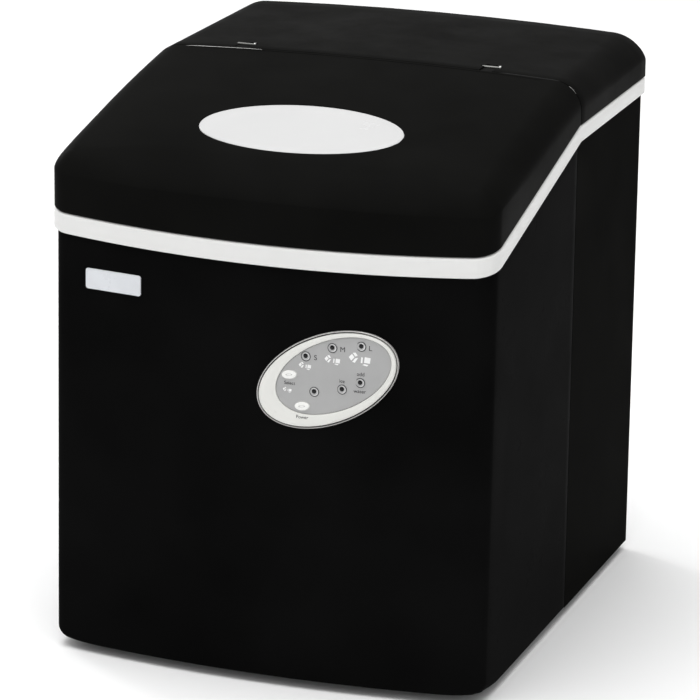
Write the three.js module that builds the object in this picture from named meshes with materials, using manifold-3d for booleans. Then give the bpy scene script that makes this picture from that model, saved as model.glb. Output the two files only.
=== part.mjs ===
// A portable countertop ice maker of the kind that freezes bullet ice on dipped fingers.
// Millimetres, +Z up. The front faces -Y, +X is on the right as seen from the front, and the origin
// is on the floor, under the middle of the machine.
import * as THREE from "three";
import { mergeVertices } from "three/addons/utils/BufferGeometryUtils.js";
import Module from "manifold-3d";

const wasm = await Module();
wasm.setup();

// ---------------------------------------------------------------- driving dimensions

const GAP = 0.4; // running and assembly clearance between neighbouring solids

const BODY_HALF_W = 145;
const BODY_HALF_D = 166; // to the middle of the bowed front, and to the flat back
const BOW_R = 770; // plan radius of the bowed front
const FRONT_CORNER_R = 15;
const REAR_CORNER_R = 1;
const WALL = 2.5;
const BODY_BOTTOM = 6; // the housing's lower edge, which hides the feet

// The white band lies on a plane that falls towards the front, and runs level behind its knee.
const BAND_SLOPE = 0.2537;
const BAND_BOTTOM_REAR = 322.8;
const BAND_KNEE_Y = 21.3;
const BAND_REAR_HEIGHT = 10.9; // grows towards the front, because its top edge falls less steeply
const BAND_TOP_SLOPE = 0.2459;
const BAND_TOP_KNEE_Y = 19.9;
const BAND_PROUD = 2.3;
const BAND_INSET = 6; // how far the band reaches inside the housing's outline
const SEAM_Y = 21.3; // vertical joint between the front and rear housings

// Lid and rear cover share one crowned, round-edged section.
const TOP_Z = 365;
const TOP_PROUD = 2.0; // beyond the housing's outline
const TOP_EDGE_R = 16;
const CROWN_R = 2560; // across the width
const LID_KNEE_Y = 20;
const LID_PITCH = 0.131; // fall of the lid's top where it leaves the knee
const LID_ARCH_R = 1450; // lengthwise curve of the lid's top
const LID_BACK_Y = 19.7;
const COVER_FRONT_Y = 21.1;
const COVER_BACK_Y = 168.3;

// Each hinge pin lies in open saddles, a little proud of the rear cover, and the lid's arm hooks under it.
const HINGE = { xs: { left: -86.7, right: 82.1 }, y: 34, z: 362.8, armWidth: 8.2 };
const HINGE_NOTCH = { width: 9.2, back: 37.7 };
const HINGE_PIN = { r: 1.2, halfLength: 6.6, headR: 1.8, headLength: 1.6 };

const WINDOW = { x: 0.3, y: -96.8, halfX: 67, halfY: 33.4, lip: 3.6, thickness: 3 };
const WINDOW_TURN = THREE.MathUtils.degToRad(1.8);

// Control panel, as seen from the front: x, height and the tilt of its ellipses.
const PANEL_TILT = THREE.MathUtils.degToRad(25.5);
const BEZEL = { x: 44.2, z: 205.8, a: 47, b: 26.9, proud: 2.3 };
const RING_WIDTH = 1.5;
const FACE = { x: 48.4, z: 208.9, a: 39.3, b: 22, proud: 1.5 };
const BUTTON = { a: 4.8, b: 3.0, proud: 2.3 };
const BUTTONS = { select_button: [20.4, 207.2], power_button: [28.9, 187.7] };
const LED_R = 2.6;
const LEDS = {
  led_small: [30.9, 219.9],
  led_medium: [47.9, 226.9],
  led_large: [66.2, 229.5],
  led_add_water: [65.8, 206.2],
  led_ice_full: [54.3, 200.9],
  led_power: [36.6, 197.6],
};
const BOARD = { y: -155.4, thickness: 1.6, halfX: 46, halfZ: 30 };
const BADGE = { x: -100.1, z: 251, w: 39.2, h: 13.2, r: 1.6, proud: 1.2 };

// Ice compartment.
const TUB = { halfX: 120, front: -142, back: 8, bottom: 152, wall: 2, r: 16 };
const TUB_FLANGE = { drop: 5, thickness: 2, rearEdge: 17 };
const BASKET = { halfX: 108, front: -134, back: -61.5, bottom: 180.4, top: 230, wall: 2, lip: 2.5 };
const LEDGE_Z = 180;
const TRAY = { y: -16, z: 252, r: 20, wall: 1.8, halfX: 100 };
const PUSHER = { y: -40, z: 266, length: 26, thickness: 2, rod: 2.2, halfX: 104 };
const FINGERS = { count: 9, pitch: 20, r: 4, tip: 239 };
const MANIFOLD = { halfX: 92, halfY: 7, bottom: 272, top: 284 };
const COLD_STUBS = { suction: 70, hot_gas: 0, liquid: -70, z: 278, r: 3 };

// Machine compartment, behind and under the ice compartment.
const COMPRESSOR = { x: 62, y: 95, r: 50, bottom: 26, top: 138 };
const CONDENSER = { x: -28, y: 95, halfX: 12, halfY: 54, bottom: 26, top: 146 };
const FAN = { x: -78, y: 95, z: 88, r: 49, hub: 14, blades: 5 };
const PUMP = { x: -60, y: -90, r: 18, bottom: 112, top: 146 };
const HOSE_R = 3.4;
const DRAIN = { x: 40, y: -110, r: 7, bore: 5 };
const GLAND = { x: 100, z: 44, r: 8, bore: 3.6, flange: 11.5 };
const FOOT = { x: 116, front: -128, back: 138, r: 12 };
const SCREWS = { x: 131, low: 30, high: 306, head: 3.6, shank: 1.7 };

// ---------------------------------------------------------------- materials

const paint = (color, roughness, metalness = 0, extra = {}) =>
  new THREE.MeshStandardMaterial({ color, roughness, metalness, ...extra });
const material = {
  blackPlastic: paint(0x0b0b0c, 0.28),
  whiteTrim: paint(0xe9e9e7, 0.35),
  window: paint(0xe6e6e6, 0.3, 0, { transparent: true, opacity: 0.9 }),
  panelWhite: paint(0xe6e6e2, 0.35),
  panelGrey: paint(0xa6a6a5, 0.45),
  chrome: paint(0x9c9a98, 0.2, 1),
  button: paint(0xf4f4f2, 0.3),
  lens: paint(0x1c1c1e, 0.15),
  badge: paint(0xdcdfe4, 0.3, 0.4),
  rubber: paint(0x161616, 0.85),
  innerPlastic: paint(0xdde0e2, 0.4),
  basketPlastic: paint(0xcfd4d8, 0.35),
  greyPlastic: paint(0x8d9296, 0.45),
  steel: paint(0xb9bcc0, 0.3, 1),
  darkSteel: paint(0x222426, 0.5, 0.6),
  nickel: paint(0xc9c6bd, 0.25, 1),
  copper: paint(0xb26a3c, 0.35, 1),
  aluminium: paint(0xb4b8bb, 0.45, 1),
  foam: paint(0xd9cfae, 0.9),
  board: paint(0x1f5a34, 0.5),
  silicone: paint(0xd6dad7, 0.5),
};

// ---------------------------------------------------------------- shapes

const point = (x, y) => new THREE.Vector2(x, y);

/** Points along an arc, both ends included. */
const arc = (cx, cy, r, from, to, steps) =>
  Array.from({ length: steps + 1 }, (_, i) => {
    const a = from + ((to - from) * i) / steps;
    return point(cx + r * Math.cos(a), cy + r * Math.sin(a));
  });

/** An ellipse's points, turned by tilt. */
const ellipse = (cx, cy, a, b, tilt = 0, steps = 32) =>
  Array.from({ length: steps }, (_, i) => {
    const t = (2 * Math.PI * i) / steps;
    return point(a * Math.cos(t), b * Math.sin(t)).rotateAround(point(0, 0), tilt).add(point(cx, cy));
  });

/** A rectangle with round corners, anticlockwise. */
function roundedRect(x0, y0, x1, y1, r, steps = 3) {
  const q = Math.PI / 2;
  return [
    ...arc(x1 - r, y0 + r, r, -q, 0, steps),
    ...arc(x1 - r, y1 - r, r, 0, q, steps),
    ...arc(x0 + r, y1 - r, r, q, 2 * q, steps),
    ...arc(x0 + r, y0 + r, r, 2 * q, 3 * q, steps),
  ];
}

/** The housing's plan outline, moved outwards by offset: bowed front, round front corners and flat back. */
function planOutline(offset, backY = BODY_HALF_D + offset) {
  const q = Math.PI / 2;
  const halfW = BODY_HALF_W + offset;
  const corner = FRONT_CORNER_R + offset;
  const rear = Math.max(REAR_CORNER_R + offset, 1);
  const bow = BOW_R + offset;
  const bowY = BOW_R - BODY_HALF_D;
  const cornerX = halfW - corner;
  const cornerY = bowY - Math.sqrt((bow - corner) ** 2 - cornerX ** 2);
  const bowEnd = Math.asin(cornerX / (bow - corner));
  return [
    ...arc(0, bowY, bow, -q - bowEnd, -q + bowEnd, 10),
    ...arc(cornerX, cornerY, corner, -q + bowEnd, 0, 4).slice(1),
    ...arc(halfW - rear, backY - rear, rear, 0, q, 2),
    ...arc(rear - halfW, backY - rear, rear, q, 2 * q, 2),
    ...arc(-cornerX, cornerY, corner, 2 * q, 3 * q - bowEnd, 4).slice(0, -1),
  ];
}

const bowedFrontY = (x, offset = 0) => BOW_R - BODY_HALF_D - Math.sqrt((BOW_R + offset) ** 2 - x * x);
const bandBottom = (y) => BAND_BOTTOM_REAR - Math.max(0, BAND_KNEE_Y - y) * BAND_SLOPE;
const BAND_TOP_REAR = BAND_BOTTOM_REAR + BAND_REAR_HEIGHT;
const bandSlopeTop = (y) => BAND_TOP_REAR - (BAND_TOP_KNEE_Y - y) * BAND_TOP_SLOPE;
const bandTop = (y) => Math.min(BAND_TOP_REAR, bandSlopeTop(y));
const coverTop = (x) => TOP_Z - (x * x) / (2 * CROWN_R);
const lidTop = (x, y) => {
  const s = LID_KNEE_Y - y;
  return coverTop(x) - LID_PITCH * s - (s * s) / (2 * LID_ARCH_R);
};

// ---------------------------------------------------------------- solids

/** A closed three.js geometry as a manifold-3d solid. */
function solid(geometry) {
  const bare = geometry.clone();
  bare.deleteAttribute("normal");
  bare.deleteAttribute("uv");
  const merged = mergeVertices(bare, 1e-4);
  return new wasm.Manifold(
    new wasm.Mesh({
      numProp: 3,
      vertProperties: merged.attributes.position.array,
      triVerts: new Uint32Array(merged.index.array),
    }),
  );
}

/** A manifold-3d solid as a three.js geometry. */
function geometryOf(made) {
  const mesh = made.getMesh();
  const flat = new THREE.BufferGeometry();
  flat.setAttribute("position", new THREE.BufferAttribute(new Float32Array(mesh.vertProperties), 3));
  flat.setIndex(new THREE.BufferAttribute(new Uint32Array(mesh.triVerts), 1));
  const faceted = flat.toNonIndexed();
  faceted.computeVertexNormals();
  return faceted;
}

const joined = (...solids) => solids.reduce((a, b) => a.add(b));

const basis = (x, y, z) => new THREE.Matrix4().makeBasis(...[x, y, z].map((v) => new THREE.Vector3(...v)));
const extruded = (points, depth) =>
  new THREE.ExtrudeGeometry(new THREE.Shape(points), { depth, bevelEnabled: false, curveSegments: 4 });

/** A plan outline raised from z0 to z1. */
const raised = (points, z0, z1) => solid(extruded(points, z1 - z0).translate(0, 0, z0));

/** A (y, z) profile run along X from x0 to x1. */
const alongX = (points, x0, x1) =>
  solid(extruded(points, x1 - x0).applyMatrix4(basis([0, 1, 0], [0, 0, 1], [1, 0, 0])).translate(x0, 0, 0));

/** An (x, z) profile run along Y from y0 to y1. */
const alongY = (points, y0, y1) =>
  solid(extruded(points, y1 - y0).applyMatrix4(basis([1, 0, 0], [0, 0, 1], [0, -1, 0])).translate(0, y1, 0));

const box = (x0, y0, z0, x1, y1, z1) => {
  const size = new THREE.BoxGeometry(x1 - x0, y1 - y0, z1 - z0);
  return solid(size.translate((x0 + x1) / 2, (y0 + y1) / 2, (z0 + z1) / 2));
};

const rod = (length, r, steps, tip) => new THREE.CylinderGeometry(tip, r, length, steps);
const rodX = (x0, x1, y, z, r, steps = 14) =>
  solid(rod(x1 - x0, r, steps, r).rotateZ(Math.PI / 2).translate((x0 + x1) / 2, y, z));
const rodY = (x, y0, y1, z, r, steps = 14) => solid(rod(y1 - y0, r, steps, r).translate(x, (y0 + y1) / 2, z));
const rodZ = (x, y, z0, z1, r, steps = 14, tip = r) =>
  solid(rod(z1 - z0, r, steps, tip).rotateX(Math.PI / 2).translate(x, y, (z0 + z1) / 2));

/** A solid turned about a vertical axis, from [radius, height] pairs that start and end on the axis. */
const turned = (x, y, pairs, steps = 20) =>
  solid(
    new THREE.LatheGeometry(
      pairs.map(([r, z]) => point(r, z)),
      steps,
    )
      .rotateX(Math.PI / 2)
      .translate(x, y, 0),
  );

/** A pipe through the given corners, with round bends. */
function pipe(corners, r, bend, steps, sides = 7) {
  const at = corners.map((c) => new THREE.Vector3(...c));
  const path = new THREE.CurvePath();
  let from = at[0];
  for (let i = 1; i < at.length - 1; i++) {
    const into = at[i].clone().add(at[i - 1].clone().sub(at[i]).setLength(bend));
    const out = at[i].clone().add(at[i + 1].clone().sub(at[i]).setLength(bend));
    path.add(new THREE.LineCurve3(from, into));
    path.add(new THREE.QuadraticBezierCurve3(into, at[i], out));
    from = out;
  }
  path.add(new THREE.LineCurve3(from, at[at.length - 1]));
  const section = new THREE.Shape(ellipse(0, 0, r, r, 0, sides));
  return solid(new THREE.ExtrudeGeometry(section, { steps, extrudePath: path, bevelEnabled: false }));
}

/** A closed solid through rings of equal length, the first and last closed by a fan from their middles. */
function ringLoft(rings) {
  const count = rings[0].length;
  const middle = (ring) => ring.reduce((sum, v) => sum.add(v), new THREE.Vector3()).divideScalar(count);
  const vertices = [...rings.flat(), middle(rings[0]), middle(rings[rings.length - 1])];
  const first = rings.length * count;
  const index = [];
  for (let i = 0; i < count; i++) {
    const next = (i + 1) % count;
    index.push(first, next, i);
    for (let k = 0; k < rings.length - 1; k++) {
      const [a, b] = [k * count + i, k * count + next];
      index.push(a, b, b + count, a, b + count, a + count);
    }
    const top = (rings.length - 1) * count;
    index.push(first + 1, top + i, top + next);
  }
  const geometry = new THREE.BufferGeometry().setFromPoints(vertices);
  geometry.setIndex(index);
  return solid(geometry);
}

/** Adds points so that no edge of an outline is longer than limit. */
const subdivided = (points, limit) =>
  points.flatMap((a, i) => {
    const b = points[(i + 1) % points.length];
    const parts = Math.ceil(a.distanceTo(b) / limit);
    return Array.from({ length: parts }, (_, k) => a.clone().lerp(b, k / parts));
  });

/** Everything under a surface that falls as height(y) from front to back, across the whole width. */
function below(height, knee) {
  const surface = [200, knee, -200].map((y) => point(y, height(y)));
  return alongX([point(-200, 0), point(200, 0), ...surface], -200, 200);
}

const mirrorX = (made) => made.mirror([1, 0, 0]);
const flipped = (side, made) => (side < 0 ? mirrorX(made) : made);

// ---------------------------------------------------------------- scene graph

const iceMaker = new THREE.Group();
const cabinet = new THREE.Group();
const lidGroup = new THREE.Group();
const controls = new THREE.Group();
const iceChamber = new THREE.Group();
const machinery = new THREE.Group();
iceMaker.add(cabinet, lidGroup, controls, iceChamber, machinery);

function addPart(group, name, made, look) {
  const mesh = new THREE.Mesh(geometryOf(made), look);
  mesh.name = name;
  group.add(mesh);
  return mesh;
}

// ---------------------------------------------------------------- housing

const bodyForm = (offset, z0 = BODY_BOTTOM, z1 = 345) => raised(planOutline(offset), z0, z1);
/** Bores for the buttons and the indicators, through whatever lies in front of the control board. */
function pierced(made) {
  const bores = [];
  for (const [x, z] of Object.values(BUTTONS)) {
    bores.push(alongY(ellipse(x, z, BUTTON.a + GAP, BUTTON.b + GAP, 0, 14), -185, -140));
  }
  for (const [x, z] of Object.values(LEDS)) bores.push(rodY(x, -185, -140, z, LED_R + GAP, 10));
  return made.subtract(joined(...bores));
}

const controlCylinder = ({ x, z }, a, b, steps = 32) =>
  alongY(ellipse(x, z, a, b, PANEL_TILT, steps), -185, -140);

function frontHousing() {
  const underBand = below((y) => bandBottom(y) - GAP, BAND_KNEE_Y);
  const wrap = bodyForm(0)
    .subtract(bodyForm(-WALL, 0, 350))
    .intersect(underBand)
    .subtract(box(-200, SEAM_Y - GAP / 2, 0, 200, 200, 400));
  return pierced(wrap);
}

function ventSlots() {
  const height = 3.6;
  const slots = [];
  for (let row = 0; row < 9; row++) {
    const z = 176 + row * 10;
    slots.push(box(14, 150, z, 104, 180, z + height), box(-104, 150, z, -14, 180, z + height));
  }
  for (let row = 0; row < 11; row++) {
    const z = 36 + row * 10;
    slots.push(box(-160, 48, z, -130, 142, z + height));
  }
  return joined(...slots);
}

function screwPlaces() {
  return [
    ["rear_screw_lower_left", -SCREWS.x, SCREWS.low],
    ["rear_screw_lower_right", SCREWS.x, SCREWS.low],
    ["rear_screw_upper_left", -SCREWS.x, SCREWS.high],
    ["rear_screw_upper_right", SCREWS.x, SCREWS.high],
  ];
}

function rearHousing() {
  let shell = bodyForm(0, BODY_BOTTOM, BAND_BOTTOM_REAR - GAP)
    .subtract(bodyForm(-WALL, 0, 350))
    .subtract(box(-200, -200, 0, 200, SEAM_Y + GAP / 2, 400))
    .subtract(ventSlots())
    .subtract(rodY(GLAND.x, 150, 180, GLAND.z, GLAND.r + GAP));
  for (const [, x, z] of screwPlaces()) {
    shell = shell.subtract(rodY(x, 150, 180, z, SCREWS.shank + GAP, 8));
  }
  return shell;
}

function basePan() {
  const outline = -WALL - 0.5;
  const floor = BODY_BOTTOM + 0.8;
  const pan = bodyForm(outline, floor, floor + 14).subtract(bodyForm(outline - 2, floor + 2, 60));
  return pan.subtract(rodZ(DRAIN.x, DRAIN.y, 0, 20, DRAIN.r + GAP));
}

function trimBand() {
  const ring = bodyForm(BAND_PROUD, 200, 345).subtract(bodyForm(-BAND_INSET, 190, 350));
  return ring.intersect(below(bandTop, BAND_TOP_KNEE_Y)).subtract(below(bandBottom, BAND_KNEE_Y));
}

/** The crowned, round-edged section that the lid and the rear cover share, as (x, z) points. */
function topSection(inset, bottom) {
  const r = TOP_EDGE_R - inset;
  const halfW = BODY_HALF_W + TOP_PROUD - inset;
  const edge = arc(0, 0, r, 0, Math.PI / 2, 5).map((p) => {
    const x = halfW - r + p.x;
    return point(x, coverTop(x) - inset - r + p.y);
  });
  const crown = [0.5, 0, -0.5].map((k) => point(k * (halfW - r), coverTop(k * (halfW - r)) - inset));
  return [
    point(halfW, bottom),
    ...edge,
    ...crown,
    ...edge.map((p) => point(-p.x, p.y)).reverse(),
    point(-halfW, bottom),
  ];
}

function rearCover() {
  const bottom = BAND_TOP_REAR + GAP;
  let cover = alongY(topSection(0, bottom), COVER_FRONT_Y, COVER_BACK_Y).subtract(
    alongY(topSection(WALL, bottom - 5), COVER_FRONT_Y - 5, COVER_BACK_Y - WALL),
  );
  const half = HINGE_NOTCH.width / 2;
  const bore = HINGE_PIN.r + GAP;
  const pocket = HINGE_PIN.headR + GAP;
  const end = HINGE_PIN.halfLength + GAP;
  const { y, z } = HINGE;
  for (const x of Object.values(HINGE.xs)) {
    const lugs = box(x - half - 4.4, y - 5, z - 5, x - half, y + 5, z - 1).add(
      box(x + half, y - 5, z - 5, x + half + 4.4, y + 5, z - 1),
    );
    const notch = box(x - half, 10, 340, x + half, HINGE_NOTCH.back, 380);
    const saddle = rodX(x - end, x + end, y, z, bore).add(box(x - end, y - bore, z, x + end, y + bore, 380));
    const headPlace = rodX(x + half, x + end, y, z, pocket).add(
      box(x + half, y - pocket, z, x + end, y + pocket, 380),
    );
    cover = cover.add(lugs).subtract(joined(notch, saddle, headPlace));
  }
  return cover;
}

function buildCabinet() {
  addPart(cabinet, "front_housing", frontHousing(), material.blackPlastic);
  addPart(cabinet, "rear_housing", rearHousing(), material.blackPlastic);
  addPart(cabinet, "base_pan", basePan(), material.darkSteel);
  addPart(cabinet, "trim_band", trimBand(), material.whiteTrim);
  addPart(cabinet, "rear_top_cover", rearCover(), material.blackPlastic);
  for (const [name, x, z] of screwPlaces()) {
    const head = rodY(x, BODY_HALF_D + 0.3, BODY_HALF_D + 2, z, SCREWS.head, 10);
    addPart(cabinet, name, head.add(rodY(x, 157, BODY_HALF_D + 1, z, SCREWS.shank, 8)), material.steel);
  }
  const footAt = { front: FOOT.front, rear: FOOT.back };
  for (const [end, y] of Object.entries(footAt)) {
    for (const [side, sign] of [["left", -1], ["right", 1]]) {
      const foot = addPart(
        cabinet,
        `foot_${end}_${side}`,
        rodZ(0, 0, 0, BODY_BOTTOM + 0.4, FOOT.r - 2, 16, FOOT.r),
        material.rubber,
      );
      foot.position.set(sign * FOOT.x, y, 0);
    }
  }
  const gland = joined(
    rodY(0, -8, 0.3, 0, GLAND.r, 16),
    rodY(0, 0.3, 2.3, 0, GLAND.flange, 16),
  ).subtract(rodY(0, -20, 20, 0, GLAND.bore, 12));
  addPart(cabinet, "cord_gland", gland, material.rubber).position.set(GLAND.x, BODY_HALF_D, GLAND.z);
}

// ---------------------------------------------------------------- lid

/** The lid's outer form moved inwards by inset: a skirt, round edges and a gently arched top. */
function lidForm(inset, bottomDrop = 0) {
  const r = TOP_EDGE_R - inset;
  const base = subdivided(planOutline(TOP_PROUD - inset, 60), 45);
  const steps = 5;
  const rings = [base.map((p) => new THREE.Vector3(p.x, p.y, bandSlopeTop(p.y) + GAP - bottomDrop))];
  const place = (p, drop) => new THREE.Vector3(p.x, p.y, lidTop(p.x, p.y) - inset - drop);
  // Every ring keeps the skirt's point count: points move in along the outline's own offset.
  const moved = (offset) => base.map((p) => insetPoint(p, inset, offset));
  for (let k = 0; k <= steps; k++) {
    const a = (k / steps) * (Math.PI / 2);
    rings.push(moved(r * (1 - Math.cos(a))).map((p) => place(p, r * (1 - Math.sin(a)))));
  }
  const last = moved(r);
  for (const share of [0.66, 0.33]) {
    rings.push(last.map((p) => place(point(p.x * share, -70 + (p.y + 70) * share), 0)));
  }
  return ringLoft(rings).intersect(box(-200, -200, 0, 200, LID_BACK_Y, 400));
}

/** A point of the lid's outline moved inwards by distance, square to the outline. */
function insetPoint(p, inset, distance) {
  const halfW = BODY_HALF_W + TOP_PROUD - inset;
  const corner = FRONT_CORNER_R + TOP_PROUD - inset;
  const bowY = BOW_R - BODY_HALF_D;
  const bow = BOW_R + TOP_PROUD - inset;
  const cornerX = halfW - corner;
  const cornerY = bowY - Math.sqrt((bow - corner) ** 2 - cornerX ** 2);
  const side = Math.sign(p.x) || 1;
  if (p.y > cornerY) return point(side * Math.max(Math.abs(p.x) - distance, 0), p.y);
  const fromCorner = point(Math.abs(p.x) - cornerX, p.y - cornerY);
  const fromBow = point(Math.abs(p.x), p.y - bowY);
  const inCorner = fromCorner.x > 0 && fromBow.x / -fromBow.y > cornerX / (bowY - cornerY);
  const direction = (inCorner ? fromCorner : fromBow).normalize();
  const reach = inCorner ? Math.min(distance, corner - 0.05) : distance;
  return point(side * (Math.abs(p.x) - direction.x * reach), p.y - direction.y * reach);
}

const windowCylinder = (grow) =>
  raised(ellipse(WINDOW.x, WINDOW.y, WINDOW.halfX + grow, WINDOW.halfY + grow, WINDOW_TURN, 32), 200, 400);

function lidShell() {
  const { y, z, xs, armWidth } = HINGE;
  const arm = [
    point(6, 360),
    point(6, 353),
    point(y + 1, z - 4.2),
    point(y + 2.9, z - 2.6),
    point(y + 2.9, z + 0.2),
    point(y - 2.6, z + 0.2),
    point(LID_BACK_Y, z + 0.5),
  ];
  const hooks = Object.values(xs).map((x) =>
    alongX(arm, x - armWidth / 2, x + armWidth / 2).subtract(
      rodX(x - armWidth, x + armWidth, y, z, HINGE_PIN.r + GAP),
    ),
  );
  return lidForm(0)
    .subtract(lidForm(WALL, 20).add(box(-144, 0, 300, 144, 40, 352)))
    .subtract(windowCylinder(GAP))
    .add(joined(...hooks));
}

function lidWindow() {
  const pane = windowCylinder(0).intersect(lidForm(0.3, 20));
  const lip = windowCylinder(WINDOW.lip).intersect(lidForm(WALL + 0.3, 20));
  return pane.add(lip).subtract(lidForm(WALL + WINDOW.thickness, 40));
}

function lidLiner() {
  const rise = 4;
  const sheet = raised(planOutline(TOP_PROUD - WALL - 0.6), 200, 400)
    .intersect(below((y) => bandTop(y) + rise + 2, BAND_TOP_KNEE_Y))
    .subtract(below((y) => bandTop(y) + rise, BAND_TOP_KNEE_Y))
    .intersect(box(-200, -200, 0, 200, 14, 400));
  const collar = windowCylinder(WINDOW.lip + 2)
    .intersect(lidForm(WALL + WINDOW.thickness + 0.6, 20))
    .subtract(below((y) => bandTop(y) + rise, BAND_TOP_KNEE_Y));
  return sheet.add(collar).subtract(windowCylinder(WINDOW.lip));
}

function buildLid() {
  addPart(lidGroup, "lid_shell", lidShell(), material.blackPlastic);
  addPart(lidGroup, "lid_window", lidWindow(), material.window);
  addPart(lidGroup, "lid_liner", lidLiner(), material.innerPlastic);
  const { r, halfLength, headR, headLength } = HINGE_PIN;
  for (const [side, x] of Object.entries(HINGE.xs)) {
    const shank = rodX(-halfLength, halfLength, 0, 0, r, 10);
    const head = rodX(halfLength - headLength, halfLength, 0, 0, headR, 12);
    const pin = addPart(cabinet, `hinge_pin_${side}`, shank.add(head), material.steel);
    pin.position.set(x, HINGE.y, HINGE.z);
  }
}

// ---------------------------------------------------------------- controls

/** A layer that follows the bowed front, between two distances in front of it. */
const frontLayer = (near, far) => bodyForm(far, 150, 290).subtract(bodyForm(near, 140, 300));

function buildControls() {
  const grow = RING_WIDTH;
  const outer = controlCylinder(BEZEL, BEZEL.a + grow, BEZEL.b + grow, 40);
  const bezel = controlCylinder(BEZEL, BEZEL.a, BEZEL.b, 40);
  const recess = controlCylinder(FACE, FACE.a + GAP, FACE.b + GAP, 36);
  addPart(
    controls,
    "bezel_ring",
    outer.subtract(controlCylinder(BEZEL, BEZEL.a + GAP, BEZEL.b + GAP, 40)).intersect(frontLayer(0.3, 1.6)),
    material.chrome,
  );
  addPart(
    controls,
    "control_bezel",
    bezel.subtract(recess).intersect(frontLayer(0.3, BEZEL.proud)),
    material.panelWhite,
  );
  const face = controlCylinder(FACE, FACE.a, FACE.b, 36).intersect(frontLayer(0.3, FACE.proud));
  addPart(controls, "control_face", pierced(face), material.panelGrey);

  for (const [name, [x, z]] of Object.entries(BUTTONS)) {
    const cap = alongY(ellipse(0, 0, BUTTON.a, BUTTON.b, 0, 14), 0, 5);
    const stem = rodY(0, 4, BOARD.y - 1.6 - bowedFrontY(x) + BUTTON.proud, 0, 1.6, 8);
    addPart(controls, name, cap.add(stem), material.button).position.set(x, bowedFrontY(x) - BUTTON.proud, z);
  }
  for (const [name, [x, z]] of Object.entries(LEDS)) {
    const front = bowedFrontY(x) - FACE.proud - 0.3;
    const lens = rodY(0, 0, BOARD.y - GAP - front, 0, LED_R, 10);
    addPart(controls, name, lens, material.lens).position.set(x, front, z);
  }
  const board = box(-BOARD.halfX, 0, -BOARD.halfZ, BOARD.halfX, BOARD.thickness, BOARD.halfZ);
  const chip = box(-14, BOARD.thickness - 0.5, -10, 10, BOARD.thickness + 2.4, 8);
  addPart(controls, "control_board", board.add(chip), material.board).position.set(FACE.x, BOARD.y, FACE.z);

  const [halfW, halfH] = [BADGE.w / 2, BADGE.h / 2];
  const badge = roundedRect(BADGE.x - halfW, BADGE.z - halfH, BADGE.x + halfW, BADGE.z + halfH, BADGE.r);
  const plate = alongY(badge, -185, -140);
  addPart(controls, "name_plate", plate.intersect(frontLayer(0.3, BADGE.proud)), material.badge);
}

// ---------------------------------------------------------------- ice chamber

function innerTub() {
  const { halfX, front, back, bottom, wall, r } = TUB;
  const plane = (drop) => below((y) => bandTop(y) - drop, BAND_TOP_KNEE_Y);
  const flange = raised(planOutline(-BAND_INSET - 0.5), 200, 400)
    .intersect(plane(TUB_FLANGE.drop - TUB_FLANGE.thickness))
    .subtract(plane(TUB_FLANGE.drop))
    .intersect(box(-200, -200, 0, 200, TUB_FLANGE.rearEdge, 400));
  const basin = raised(roundedRect(-halfX, front, halfX, back, r), bottom, 340).intersect(
    plane(TUB_FLANGE.drop - TUB_FLANGE.thickness / 2),
  );
  const hollow = raised(
    roundedRect(wall - halfX, front + wall, halfX - wall, back - wall, r - wall),
    bottom + wall,
    400,
  );
  let tub = flange.add(basin).subtract(hollow);
  for (const side of [-1, 1]) {
    const ledge = box(BASKET.halfX - 2, -126, LEDGE_Z - 4, halfX - wall / 2, -56, LEDGE_Z);
    tub = tub.add(flipped(side, ledge));
  }
  const ramp = [point(-57.8, 229), point(-37.5, 235), point(-37.5, 237.5), point(-57.8, 231.5)];
  tub = tub.add(alongX(ramp, wall / 2 - halfX, halfX - wall / 2));
  const across = (y, z, bore) => rodX(-130, 130, y, z, bore, 12);
  tub = tub.subtract(across(TRAY.y, TRAY.z, 3 + GAP)).subtract(across(PUSHER.y, PUSHER.z, PUSHER.rod + GAP));
  tub = tub.subtract(rodX(-130, -110, -28, 268, HOSE_R + GAP, 12));
  for (const x of [COLD_STUBS.suction, COLD_STUBS.hot_gas, COLD_STUBS.liquid]) {
    tub = tub.subtract(rodY(x, 0, 15, COLD_STUBS.z, COLD_STUBS.r + GAP, 12));
  }
  return tub
    .subtract(rodZ(PUMP.x, PUMP.y, 140, 160, 5, 12))
    .subtract(rodZ(DRAIN.x, DRAIN.y, 140, 160, DRAIN.bore, 12));
}

function iceBasket() {
  const { halfX, front, back, bottom, top, wall, lip } = BASKET;
  const rect = (grow, r) => roundedRect(-halfX - grow, front - grow, halfX + grow, back + grow, r, 2);
  let basket = raised(rect(0, 10), bottom, top)
    .add(raised(rect(lip, 12), top - 2.4, top))
    .subtract(raised(rect(-wall, 8), bottom + wall, top + 5));
  const slots = [];
  for (let i = 0; i < 9; i++) {
    const x = (i - 4) * 22;
    slots.push(box(x - 6, front - 9, bottom + 9, x + 6, back + 9, top - 10));
  }
  for (let i = 0; i < 3; i++) {
    const y = (front + back) / 2 + (i - 1) * 22;
    slots.push(box(-halfX - 9, y - 6, bottom + 9, halfX + 9, y + 6, top - 10));
  }
  return basket.subtract(joined(...slots));
}

function waterTray() {
  const { y, z, r, wall, halfX } = TRAY;
  const half = (radius) => arc(y, z, radius, Math.PI, 2 * Math.PI, 10);
  const open = [...half(r - wall), point(y + r - wall, z + 5), point(y - r + wall, z + 5)];
  return alongX(half(r), -halfX, halfX)
    .subtract(alongX(open, wall - halfX, halfX - wall))
    .add(rodX(-122, -halfX, y, z, 3, 10))
    .add(rodX(-halfX - GAP, wall - halfX, y, z, 6, 12))
    .add(rodX(halfX - wall, halfX + GAP, y, z, 6, 12));
}

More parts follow.
